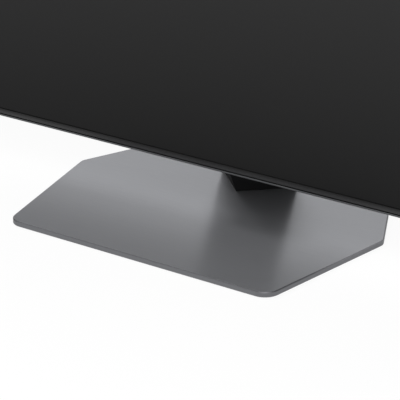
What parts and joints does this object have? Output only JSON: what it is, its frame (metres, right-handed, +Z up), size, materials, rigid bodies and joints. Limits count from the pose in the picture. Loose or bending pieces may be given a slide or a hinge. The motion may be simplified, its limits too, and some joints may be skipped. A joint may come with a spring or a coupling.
{
  "type": "flat screen television",
  "caption": "Large thin flat television with a dark screen on a six-sided brushed metal plate stand with a leaning black neck",
  "frame": {"origin": "on the table, under the middle of the base plate", "axes": "+X to the right of someone who watches the screen, +Y away from them towards the back, +Z up"},
  "size_m": [1.2274, 0.229, 0.7674],
  "materials": {
    "screen_glass": "dark reflective screen with a soft anti-glare coat",
    "bezel_metal": "dark satin paint",
    "trim_metal": "brushed, grey anodised",
    "frame_plastic": "moulded, black",
    "optical_film": "translucent film",
    "diffuser_plastic": "white diffusing plate",
    "reflector_film": "bright white",
    "led_board_metal": "white solder mask on aluminium",
    "led_lens": "clear yellowish lens",
    "chassis_steel": "galvanised sheet",
    "circuit_board": "green solder mask",
    "ribbon_film": "flat film",
    "heatsink_metal": "extruded",
    "socket_metal": "pressed shell",
    "socket_plastic": "moulded, black",
    "aerial_metal": "plated",
    "transformer_tape": "tape over the winding, dark core",
    "capacitor_sleeve": "shrink sleeve",
    "inductor_core": "ferrite",
    "lead_sleeve": "sleeved lead",
    "screw_metal": "blackened",
    "cover_plastic": "fine grained, black",
    "bay_plastic": "moulded, black",
    "insert_steel": "zinc plated",
    "bracket_steel": "black powder coat",
    "sensor_plastic": "moulded, black",
    "window_plastic": "smoked",
    "button_plastic": "moulded, dark grey",
    "plate_metal": "brushed, satin",
    "foot_rubber": "matt",
    "neck_plastic": "smooth, black",
    "speaker_plastic": "moulded, black",
    "bush_rubber": "soft",
    "basket_steel": "black",
    "magnet_steel": "zinc plated",
    "cone_paper": "pressed paper",
    "surround_rubber": "soft roll"
  },
  "bodies": {
    "television": {"lcd_cell": "screen_glass", "front_bezel": "bezel_metal", "outer_trim": "trim_metal", "middle_frame": "frame_plastic", "prism_sheet": "optical_film", "quantum_dot_sheet": "optical_film", "diffuser_plate": "diffuser_plastic", "reflector_sheet": "reflector_film", "led_boards": "led_board_metal", "led_lights": "led_lens", "back_chassis": "chassis_steel", "source_boards": "circuit_board", "timing_board": "circuit_board", "panel_ribbons": "ribbon_film", "main_board": "circuit_board", "main_heatsink": "heatsink_metal", "media_sockets": "socket_metal", "data_sockets": "socket_metal", "network_socket": "socket_plastic", "optical_socket": "socket_plastic", "aerial_socket": "aerial_metal", "power_board": "circuit_board", "transformers": "transformer_tape", "capacitors": "capacitor_sleeve", "inductors": "inductor_core", "mains_inlet": "socket_plastic", "power_harness": "lead_sleeve", "led_driver_board": "circuit_board", "radio_board": "circuit_board", "board_screws": "screw_metal", "rear_cover": "cover_plastic", "connector_bay": "bay_plastic", "power_bay": "bay_plastic", "cover_screws": "screw_metal", "wall_inserts": "insert_steel", "stand_receiver": "insert_steel", "sensor_housing": "sensor_plastic", "sensor_window": "window_plastic", "sensor_board": "circuit_board", "base_plate": "plate_metal", "base_feet": "foot_rubber", "base_screws": "screw_metal", "neck_bracket": "bracket_steel", "neck_front_cover": "neck_plastic", "neck_rear_cover": "neck_plastic", "head_screws": "screw_metal", "right_speaker_box": "speaker_plastic", "right_speaker_bushes": "bush_rubber", "right_woofer_frame": "basket_steel", "right_woofer_magnet": "magnet_steel", "right_woofer_surround": "surround_rubber", "left_speaker_box": "speaker_plastic", "left_speaker_bushes": "bush_rubber", "left_woofer_frame": "basket_steel", "left_woofer_magnet": "magnet_steel", "left_woofer_surround": "surround_rubber"},
    "control_button": {"control_button": "button_plastic"},
    "microphone_switch": {"microphone_switch": "button_plastic"},
    "right_cone": {"right_woofer_cone": "cone_paper"},
    "left_cone": {"left_woofer_cone": "cone_paper"}
  },
  "joints": [
    {"name": "control_button_press", "type": "slide", "parent": "television", "child": "control_button", "axis": [0, 0, 1], "range_m": [0, 0.0004], "stiffness_N_per_m": 500},
    {"name": "microphone_switch_slide", "type": "slide", "parent": "television", "child": "microphone_switch", "axis": [1, 0, 0], "range_m": [0, 0.002]},
    {"name": "right_cone_travel", "type": "slide", "parent": "television", "child": "right_cone", "axis": [0, 1, 0], "range_m": [-0.0005, 0.0005], "stiffness_N_per_m": 1000},
    {"name": "left_cone_travel", "type": "slide", "parent": "television", "child": "left_cone", "axis": [0, 1, 0], "range_m": [-0.0005, 0.0005], "stiffness_N_per_m": 1000}
  ]
}
